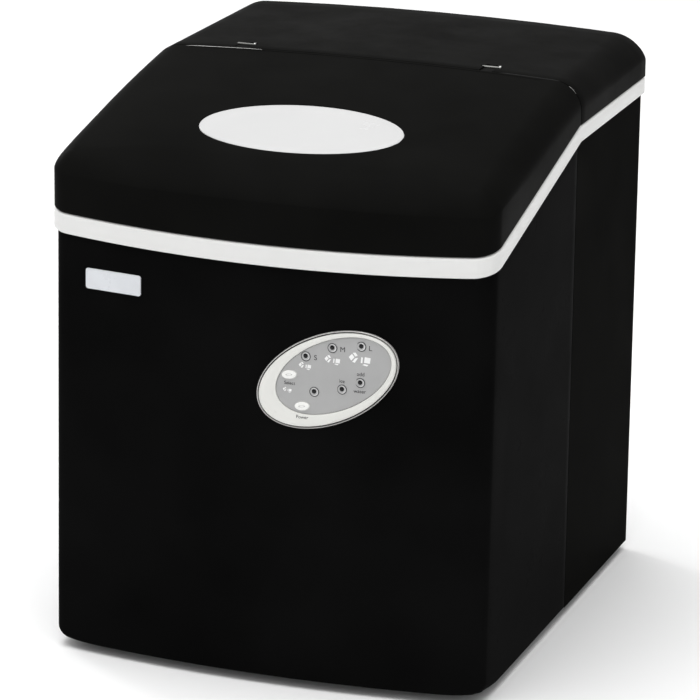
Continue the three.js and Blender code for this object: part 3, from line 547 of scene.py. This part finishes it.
def bead(name, run, y, wire, material, body):
    """A thin half-sunk wire along (x, z) points at one depth, tapered at both ends."""
    ring_list = []
    for i, (x, z) in enumerate(run):
        (ax, az), (bx, bz) = run[max(i - 1, 0)], run[min(i + 1, len(run) - 1)]
        out = Vector((bz - az, ax - bx)).normalized()
        r = wire * min(1.0, 0.3 + 0.1 * min(i, len(run) - 1 - i))
        ring = []
        for t in angles(10):
            ring.append((x + out.x * r * math.cos(t), y + r * math.sin(t), z + out.y * r * math.cos(t)))
        ring_list.append(ring)
    build(name, *rings(ring_list, True, True), material, body, (), "black_plastic", 60)


def edge_beads():
    """The rear cover's front edge bead, open where the hinges cross it, with painted highlights in bright
    metal on its right end and along the lid's rear edge.
    """
    step, gap, highlight_from = 1.2, 5.2, -70
    path = [(x, z) for x, _, z in cover_ring(COVER_FRONT_Y, 0.45) if z > BAND_TOP_REAR + 3]
    stations = []
    for (x0, z0), (x1, z1) in zip(path, path[1:]):
        parts = max(1, round(math.hypot(x1 - x0, z1 - z0) / step))
        stations += [(x0 + (x1 - x0) * k / parts, z0 + (z1 - z0) * k / parts) for k in range(parts)]
    runs = (
        ("right_low", 144.2, 200, BLACK),
        # A painted highlight on the right end of the cover bead.
        ("right_bright", 135.0, 144.2, PAINTED_HIGHLIGHT),
        ("right", HINGES["right"] + gap, 135.0, BEAD),
        ("middle", HINGES["left"] + gap, HINGES["right"] - gap, BLACK_PAINTED_LIT),
        ("left", -200, HINGES["left"] - gap, BLACK_PAINTED_LIT),
    )
    for word, low, high, material in runs:
        run = [p for p in stations if low < p[0] < high]
        bead(f"rear_cover_bead_{word}", run, COVER_FRONT_Y + 0.3, 0.42, material, "cabinet")
    # A painted highlight along the left part of the lid's rear edge.
    y = LID_BACK_Y - 0.35
    xs = [highlight_from - step * k for k in range(46)]
    bead("lid_rear_edge_painted_highlight", [(x, lid_top(x, y) - 0.1) for x in xs], y, 0.34, PAINTED_HIGHLIGHT, "lid")


HOOK_HALF = 4.1
PIN_BED_R = 1.6
PIN_R = 1.1
PIN_HEAD_R = 1.7


def hinges():
    """At each end of the hinge line, the lid's hook under a headed steel pin."""
    y, z, front = HINGE_Y, HINGE_Z, LID_BACK_Y - 0.1
    hook = [(front, z + 0.55), (24, z + 0.5), (28, z + 0.4), (y - 2.6, z + 0.1), (y - 1.7, z - 0.1)]
    for a in (3.3, 3.8, 4.3, 4.7, 5.1, 5.6, 6.1):
        hook.append((y + PIN_BED_R * math.cos(a), z + PIN_BED_R * math.sin(a)))
    hook += [(y + 1.8, z + 0.1), (y + 2.6, z + 0.1), (y + 2.9, z - 0.3), (y + 2.7, z - 2.6)]
    hook += [(y + 1, z - 4.2), (26, 355.4), (front, 355)]
    centre_y = sum(p[0] for p in hook) / len(hook)
    centre_z = sum(p[1] for p in hook) / len(hook)
    for word, middle in HINGES.items():
        ring_list = []
        for x, inset in ((-HOOK_HALF, 0.3), (0.4 - HOOK_HALF, 0), (HOOK_HALF - 0.4, 0), (HOOK_HALF, 0.3)):
            k = inset / 8
            shrunk = [(py + (centre_y - py) * k, pz + (centre_z - pz) * k) for py, pz in hook]
            ring_list.append([(middle + x, py, pz) for py, pz in shrunk])
        verts, faces = rings(ring_list, True, True)
        build(f"hinge_arm_{word}", verts, faces, BLACK_PAINTED_LIT, "lid", (), "black_plastic", 35)
        along = Matrix.Translation((middle, y, z)) @ Matrix.Rotation(Q, 4, "Y")
        pin = f"hinge_pin_{word}"
        verts, faces = turned([(0.7, -6.6), (PIN_R, -6.2), (PIN_R, 5.1)], 24)
        build(pin + "_turned", moved(verts, along), faces, PIN_STEEL, "cabinet", [pin], "steel", 35)
        verts, faces = turned([(1.3, 5.0), (PIN_HEAD_R, 5.3), (PIN_HEAD_R, 6.2), (1.3, 6.6)], 24)
        build(pin + "_head", moved(verts, along), faces, PIN_HEAD, "cabinet", (), "steel", 35)


# ---------------------------------------------------------------- lid

LID_YS = [-134, -124, -110, -90, -65, -40, -15, 2, 12, 17, LID_BACK_Y]


LID_CORNER_REACH = 15.5
LID_FRONT_DROP = 12.5
LID_STEPS = 16


def eased(value):
    """A smooth step from 0 to 1."""
    value = min(1.0, max(0.0, value))
    return value * value * (3 - 2 * value)


def edge_round(x, y):
    """The lid's edge round at an outline point: its reach, its drop and its softness.

    It reaches furthest in the middle of the front, and turns into a plain quarter circle along the sides.
    """
    back = eased((y - FRONT_CORNER_Y) / 60)
    middle = eased((128 - abs(x)) / 50)
    reach = LID_CORNER_REACH + LID_CORNER_REACH * middle + (EDGE_R - LID_CORNER_REACH) * eased((y + 132) / 44)
    drop = LID_FRONT_DROP + 1.2 * middle
    return reach, drop + (EDGE_R - drop) * back, 1.25 + 0.75 * back


def lid_loop(share, extra=0.0):
    """The lid's outline moved inwards to a share of its edge round, closed along the hinge side."""
    cx, cy = corner_centre()
    loop = []
    for x, y in front_path(TOP_PROUD, LID_YS):
        side = math.copysign(1, x)
        if y > cy + 1e-6:
            out = Vector((side, 0))
        elif abs(x) / (BOW_Y - y) > cx / (BOW_Y - cy):
            out = Vector((x - side * cx, y - cy)).normalized()
        else:
            out = Vector((x, y - BOW_Y)).normalized()
        inset = edge_curve(*edge_round(x, y), share)[0] + extra
        loop.append((x - out.x * inset, y - out.y * inset))
    end = loop[-1][0]
    return loop + [(end * (1 - k / 12), LID_BACK_Y) for k in range(1, 24)]


def window_point(t, grow=0.0, scale=1.0):
    """A point on the window's ellipse, which is turned a little in plan."""
    wx, wy, wa, wb = WINDOW
    u, v = (wa + grow) * scale * math.cos(t), (wb + grow) * scale * math.sin(t)
    cos, sin = math.cos(WINDOW_TURN), math.sin(WINDOW_TURN)
    return wx + u * cos - v * sin, wy + u * sin + v * cos


def lid_skin_rings():
    """Rings from the skirt's lower edge over the round edge and the arched top, and down into the opening."""
    outer = lid_loop(0)
    ring_list = []
    for rise, extra in ((0.5, 0.5), (1.0, 0.0)):
        ring_list.append([(x, y, band_top(y) + rise) for x, y in lid_loop(0, extra)])
    ring_list.append([(x, y, (band_top(y) + lid_top(x, y) - EDGE_R) / 2 + 1) for x, y in outer])
    for k in range(LID_STEPS + 1):
        share = k / LID_STEPS
        ring = []
        for (x, y), wall_point in zip(lid_loop(share), outer):
            ring.append((x, y, lid_top(x, y) - edge_curve(*edge_round(*wall_point), share)[1]))
        ring_list.append(ring)
    last = lid_loop(1)
    rim = []
    wx, wy, wa, wb = WINDOW
    for x, y in last:
        t = math.atan2((y - wy) / wb, (x - wx) / wa)
        rim.append(window_point(t))
    for s in (0.12, 0.25, 0.4, 0.55, 0.7, 0.84, 0.94, 1.0):
        ring = []
        for (x, y), (rx, ry) in zip(last, rim):
            grow = 1 + 0.5 / wa if s == 1.0 else 1
            px = x + ((rx - wx) * grow + wx - x) * s
            py = y + ((ry - wy) * grow + wy - y) * s
            ring.append((px, py, lid_top(px, py)))
        ring_list.append(ring)
    ring_list.append([(x, y, lid_top(x, y) - 0.5) for x, y in rim])
    ring_list.append([(x, y, lid_top(x, y) - 2.4) for x, y in rim])
    return ring_list


def lid():
    """The lid's skin, given its thickness inwards, and the window pane with a flange under the skin."""
    verts, faces = rings(lid_skin_rings())
    shell = build("lid_skin", verts, faces, BLACK_PAINTED_LIT, "lid", ["lid_shell"], "black_plastic", 38)
    wall = shell.modifiers.new("wall", "SOLIDIFY")
    wall.thickness = 2.2 * MM
    wall.offset = -1
    ring_list = []
    pane = ((0.997, 2.6), (0.997, 0.55), (0.993, 0.3), (0.98, 0.22), (0.8, 0.2), (0.5, 0.2), (0.2, 0.2))
    for scale, drop in pane:
        ring = [window_point(t, -0.3, scale) for t in angles(OVAL_STEPS)]
        ring_list.append([(x, y, lid_top(x, y) - drop) for x, y in ring])
    flange = [window_point(t, 3) for t in angles(OVAL_STEPS)]
    depth = 3.6
    under = [[(x, y, lid_top(x, y) - d) for x, y in flange] for d in (depth, 2.75)]
    inner_rim = [[(x, y, lid_top(x, y) - depth) for x, y, _ in ring] for ring in (ring_list[4], ring_list[6])]
    verts, faces = rings(inner_rim[::-1] + under + ring_list, True, True)
    build("lid_window_pane", verts, faces, WINDOW_MAT, "lid", ["lid_window"], "window", 40)


# ---------------------------------------------------------------- control panel


def panel_ring(ellipse, grow, height):
    cx, cz, a, b = ellipse
    ring = []
    for t in angles(OVAL_STEPS):
        x, z = ellipse_point(cx, cz, a + grow, b + grow, t)
        ring.append(on_front(x, z, height))
    return ring


def between(outer, inner, s, height):
    """A ring part of the way from the outer ellipse to the inner one."""
    ring = []
    for t in angles(OVAL_STEPS):
        x0, z0 = ellipse_point(*outer, t)
        x1, z1 = ellipse_point(*inner, t)
        ring.append(on_front(x0 + (x1 - x0) * s, z0 + (z1 - z0) * s, height))
    return ring


def panel():
    """The bright wire, the dished bezel and the face plate. Each profile ends its pairs with a height."""
    wire = ((1.5, 0.1), (1.5, 0.9), (1.35, 1.3), (1.1, 1.42), (0.8, 1.28), (0.7, 0.2))
    ring_list = [panel_ring(BEZEL, grow, height) for grow, height in wire]
    build("bezel_ring_wire", *rings(ring_list), RING_MAT, "cabinet", ["bezel_ring"], "bright_ring", 50)
    cx, cz, a, b = FACE
    dish = ((0, 0.2), (0, 1.3), (0.03, 1.75), (0.1, 2.0), (0.3, 2.22), (0.6, 2.28), (0.86, 2.25))
    dish += ((0.95, 2.12), (1, 1.8), (1, 0.6))
    ring_list = [between(BEZEL, (cx, cz, a + 0.2, b + 0.2), share, height) for share, height in dish]
    build("control_bezel_dish", *rings(ring_list), BEZEL_MAT, "cabinet", ["control_bezel"], "panel_white", 50)
    plate = [(1, 0.3), (1, 1.3), (0.99, 1.48)]
    plate += [(scale, FACE_PROUD) for scale in (0.97, 0.75, 0.5, 0.25, 0.05)]
    ring_list = [panel_ring((cx, cz, a * scale, b * scale), 0, height) for scale, height in plate]
    verts, faces = rings(ring_list, cap_last=True)
    build("control_face_plate", verts, faces, FACE_MAT, "cabinet", ["control_face"], "panel_grey", 40)


KEY_TILT = math.radians(8)
PRINT_LIFT = 0.05
PRINT_THICKNESS = 0.04
ICON_THICKNESS = 0.1
BUTTONS = {"select_button": (20.4, 207.2, "select_key"), "power_button": (28.9, 187.7, "power_key")}
LEDS = {
    "led_small": (30.9, 219.9),
    "led_medium": (47.9, 226.9),
    "led_large": (66.2, 229.5),
    "led_add_water": (65.8, 206.2),
    "led_ice_full": (54.3, 200.9),
    "led_power": (36.6, 197.6),
}


def disc_on_front(x, z, profile, steps=40, stretch=(1, 1), tilt=0.0):
    """Rings round a point on the front, from (radius, height) pairs."""
    ring_list = []
    for r, h in profile:
        ring = []
        for t in angles(steps):
            px, pz = ellipse_point(x, z, r * stretch[0], r * stretch[1], t, tilt)
            ring.append((px, front_y(x) - h, pz))
        ring_list.append(ring)
    return ring_list


def buttons_and_lamps():
    """Each key's cap, surround and ridge, and each lamp's rim, collar and lens."""
    for name, (x, z, body) in BUTTONS.items():
        cap = ((3.0, -2.5), (3.0, 2.0), (2.9, 2.25), (2.6, 2.4), (2.0, 2.45), (1.1, 2.46), (0.2, 2.46))
        ring_list = disc_on_front(x, z, cap, 48, (1.6, 0.9), KEY_TILT)
        build(name + "_cap", *rings(ring_list, True, True), BUTTON_MAT, body, [name], "button_white", 50)
        surround = ((3.08, 1.3), (3.08, 1.6), (3.25, 1.7), (3.45, 1.6), (3.45, 1.3))
        ring_list = disc_on_front(x, z, surround, 48, (1.56, 0.92), KEY_TILT)
        build(name + "_surround", *rings(ring_list), SURROUND_MAT, "cabinet", (), "panel_grey", 50)
        ridge = ((1.1, 2.42), (1.05, 2.5), (0.9, 2.54), (0.75, 2.5), (0.7, 2.42))
        ring_list = disc_on_front(x, z, ridge, 40, (2.1, 0.62), KEY_TILT)
        build(name + "_ridge", *rings(ring_list), SURROUND_MAT, body, (), "button_white", 50)
    for name, (x, z) in LEDS.items():
        rim = disc_on_front(x, z, ((3.15, 1.3), (3.15, 1.66), (2.9, 1.74), (2.65, 1.66), (2.6, 1.2)))
        build(name + "_rim", *rings(rim), RIM_MAT, "cabinet", (), "lamp", 50)
        collar = disc_on_front(x, z, ((2.68, 1.2), (2.6, 1.58), (2.3, 1.55), (1.9, 1.4), (1.6, 1.2)))
        build(name + "_collar", *rings(collar), COLLAR_MAT, "cabinet", (), "panel_grey", 50)
        dome = ((1.55, -4), (1.55, 1.3), (1.45, 1.55), (1.15, 1.72), (0.6, 1.8), (0.1, 1.82))
        lens = disc_on_front(x - 0.15, z + 0.25, dome)
        build(name + "_lens", *rings(lens, True, True), LENS_MAT, "cabinet", [name], "lamp", 50)


def printed(name, text, x, z, size, material):
    """Small flat print on the control face or bezel."""
    curve = bpy.data.curves.new(name, "FONT")
    curve.body = text
    curve.size = size * MM
    curve.align_x, curve.align_y = "CENTER", "CENTER"
    curve.extrude = PRINT_THICKNESS * MM
    text_obj = bpy.data.objects.new(name + "_curve", curve)
    bpy.context.scene.collection.objects.link(text_obj)
    bpy.context.view_layer.update()
    mesh = bpy.data.meshes.new_from_object(text_obj.evaluated_get(bpy.context.evaluated_depsgraph_get()))
    bpy.data.objects.remove(text_obj)
    height = BEZEL_PROUD if text == "Power" else FACE_PROUD
    for v in mesh.vertices:
        px, pz, lift = v.co.x / MM + x, v.co.y / MM + z, v.co.z / MM
        v.co = Vector(on_front(px, pz, height + PRINT_LIFT + lift)) * MM
    mesh.name = name
    finish_piece(bpy.data.objects.new(name, mesh), material, "cabinet", (), 60)


def cube_icon(name, x, z, size):
    """Two loose ice cubes drawn as small raised quadrilaterals."""
    verts, faces = [], []

    def patch(points):
        base = len(verts)
        for h in (FACE_PROUD, FACE_PROUD + ICON_THICKNESS):
            verts.extend(on_front(x + px * size, z + pz * size, h) for px, pz in points)
        n = len(points)
        faces.append(tuple(base + n + k for k in range(n)))
        for k in range(n):
            faces.append((base + k, base + (k + 1) % n, base + n + (k + 1) % n, base + n + k))

    patch([(-1.0, 0.1), (-0.72, 0.42), (-0.5, 0.12), (-0.78, -0.2)])
    patch([(-0.66, 0.5), (-0.42, 0.56), (-0.2, 0.28), (-0.44, 0.2)])
    patch([(-0.7, -0.3), (-0.44, 0.04), (-0.18, 0.1), (-0.46, -0.36)])
    patch([(0.05, -0.32), (0.1, 0.2), (0.24, 0.16), (0.2, -0.36)])
    patch([(0.34, -0.3), (0.4, 0.22), (0.92, 0.16), (0.86, -0.34)])
    patch([(0.2, -0.5), (0.36, -0.4), (0.74, -0.46), (0.6, -0.6)])
    build(name, verts, faces, PRINT_WHITE, "cabinet", (), "button_white", 30)


def prints():
    for text, x, z in (("S", 37.2, 219.5), ("M", 54.5, 226.4), ("L", 71.9, 228.7)):
        printed("print_" + text, text, x, z, 4.6, PRINT_DARK)
    for text, x, z, size in (
        ("Select", 20.6, 201.6, 3.0),
        ("ice", 54.3, 206.2, 3.2),
        ("add", 66.1, 211.7, 3.4),
        ("water", 65.6, 200.7, 3.3),
        ("Power", 29.2, 180.6, 3.0),
    ):
        printed("print_" + text.lower(), text, x, z, size, PRINT_DARK)
    for name, x, z, size in (
        ("tiny", 19.2, 197.2, 3.0),
        ("small", 30.6, 213.8, 4.2),
        ("medium", 48.2, 219.3, 5.2),
        ("large", 65.6, 221.5, 7.2),
    ):
        cube_icon(f"icon_cubes_{name}", x, z, size)


def name_plate():
    """A blank plate with rounded corners and a bevelled edge. It lies on the bowed front."""
    cx, cz, w, h = -100.1, 251.0, 39.2, 13.2
    r = 1.6
    right, top = w / 2 - r, h / 2 - r
    corners = []
    for quarter, (px, pz) in enumerate(((right, top), (-right, top), (-right, -top), (right, -top))):
        corners += arc(px, pz, r, quarter * Q, quarter * Q + Q, 5)
    rows = []
    for s, height in ((1, 0.2), (1, 0.8), (0.985, 1.1), (0.95, 1.2), (0.6, 1.2), (0.2, 1.2)):
        across = 1 - (1 - s) * (h / w) if s > 0.9 else s
        rows.append([on_front(cx + px * across, cz + pz * s, height) for px, pz in corners])
    build("name_plate_blank", *rings(rows, True, True), BADGE_MAT, "cabinet", ["name_plate"], "badge", 40)


# ---------------------------------------------------------------- carried-over nodes

KEPT = {
    "rear_housing": BLACK_PAINTED_SHADE,
    "base_pan": DARK_STEEL,
    "cord_gland": RUBBER,
    "lid_liner": TUB_MAT,
    "control_board": BOARD,
    "inner_tub": TUB_MAT,
    "tub_insulation": FOAM,
    "ice_basket": BASKET_MAT,
    "water_tray": GREY_MAT,
    "ice_pusher": GREY_MAT,
    "evaporator": NICKEL,
    "tray_drive_shaft": STEEL,
    "tray_gear_motor": ALUMINIUM,
    "ice_sensor_left": LENS_MAT,
    "ice_sensor_right": LENS_MAT,
    "fan_shroud": GREY_MAT,
    "fan_motor": DARK_STEEL,
    "fan_blade": GREY_MAT,
    "compressor": DARK_STEEL,
    "condenser": ALUMINIUM,
    "filter_drier": COPPER,
    "discharge_line": COPPER,
    "suction_line": COPPER,
    "liquid_line": COPPER,
    "hot_gas_line": COPPER,
    "hot_gas_valve": NICKEL,
    "water_pump": GREY_MAT,
    "fill_hose": SILICONE,
    "drain_tube": SILICONE,
    "drain_cap": RUBBER,
}
for corner in ("front_left", "front_right", "rear_left", "rear_right"):
    KEPT["foot_" + corner] = RUBBER
for corner in ("lower_left", "lower_right", "upper_left", "upper_right"):
    KEPT["rear_screw_" + corner] = PIN_STEEL
for index in (1, 2, 3):
    KEPT[f"compressor_mount_{index}"] = RUBBER


def dress_kept_nodes():
    """Materials and small edge rounds for the nodes that keep their shape."""
    for node, material in KEPT.items():
        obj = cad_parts[node]
        obj.data.materials.clear()
        obj.data.materials.append(material)
        flat = obj.modifiers.new("flat", "DECIMATE")
        flat.decimate_type = "DISSOLVE"
        flat.angle_limit = math.radians(2)
        edge = obj.modifiers.new("edge", "BEVEL")
        edge.width = 0.35 * MM
        edge.segments = 2
        edge.limit_method = "ANGLE"
        edge.angle_limit = math.radians(40)
        obj.modifiers.new("triangles", "TRIANGULATE")


# ---------------------------------------------------------------- stage, lights and camera


def floor():
    size = 30.0
    mesh = bpy.data.meshes.new("floor")
    corners = [(-size, -size, 0), (size, -size, 0), (size, size, 0), (-size, size, 0)]
    mesh.from_pydata(corners, [], [(0, 1, 2, 3)])
    obj = bpy.data.objects.new("floor", mesh)
    bpy.context.scene.collection.objects.link(obj)
    mat, tree, shader = new_material("floor_paper")
    place = tree.nodes.new("ShaderNodeTexCoord")
    fac = noise(tree, place.outputs["Object"], 3.0)
    shades = tinted(tree, ramp(tree, fac, 0, 1), (0.9, 0.9, 0.9), (0.92, 0.92, 0.92))
    tree.links.new(shades, shader.inputs["Base Color"])
    shader.inputs["Roughness"].default_value = 0.9
    shader.inputs["Specular IOR Level"].default_value = 0.1
    obj.data.materials.append(mat)


def area_light(name, location, target, size, power, size_y=None):
    data = bpy.data.lights.new(name, "AREA")
    data.energy = power
    data.size = size
    if size_y:
        data.shape = "RECTANGLE"
        data.size_y = size_y
    obj = bpy.data.objects.new(name, data)
    obj.location = location
    direction = Vector(target) - Vector(location)
    obj.rotation_euler = direction.to_track_quat("-Z", "Y").to_euler()
    bpy.context.scene.collection.objects.link(obj)


def lights():
    world = bpy.data.worlds.new("studio")
    world.use_nodes = True
    background = world.node_tree.nodes["Background"]
    background.inputs["Color"].default_value = (1, 1, 1, 1)
    background.inputs["Strength"].default_value = 0.5
    bpy.context.scene.world = world
    area_light("overhead", (-0.2, -0.4, 3.2), (0, -0.1, 0), 3.4, 117, 3.0)
    area_light("front_key", (1.6, -3.2, 1.9), (0, 0, 0.2), 1.8, 9)
    area_light("left_strip", (-2.4, 1.4, 1.5), (0, 0, 0.3), 0.5, 20, 1.6)


CAMERA_AZIMUTH = math.radians(19.68)
CAMERA_ELEVATION = math.radians(17.03)
CAMERA_ROLL = math.radians(0.78)
CAMERA_TARGET = (0, 0, 0.173)
CAMERA_DISTANCE = 2.788
CAMERA_LENS = 219.0


def camera():
    """The camera of the photo, as fitted to the object's edges."""
    data = bpy.data.cameras.new("camera")
    data.sensor_width = 36
    data.lens = CAMERA_LENS
    data.clip_end = 60
    obj = bpy.data.objects.new("camera", data)
    level = math.cos(CAMERA_ELEVATION)
    back = Vector(
        (math.sin(CAMERA_AZIMUTH) * level, -math.cos(CAMERA_AZIMUTH) * level, math.sin(CAMERA_ELEVATION))
    )
    obj.location = Vector(CAMERA_TARGET) + back * CAMERA_DISTANCE
    obj.rotation_mode = "QUATERNION"
    look = (-back).to_track_quat("-Z", "Y")
    obj.rotation_quaternion = look @ Matrix.Rotation(CAMERA_ROLL, 3, "Z").to_quaternion()
    bpy.context.scene.collection.objects.link(obj)
    bpy.context.scene.camera = obj


front_housing()
trim_band()
rear_cover()
hinges()
lid()
panel()
buttons_and_lamps()
prints()
name_plate()
dress_kept_nodes()
floor()
lights()
camera()
bpy.context.scene.view_settings.view_transform = "Standard"
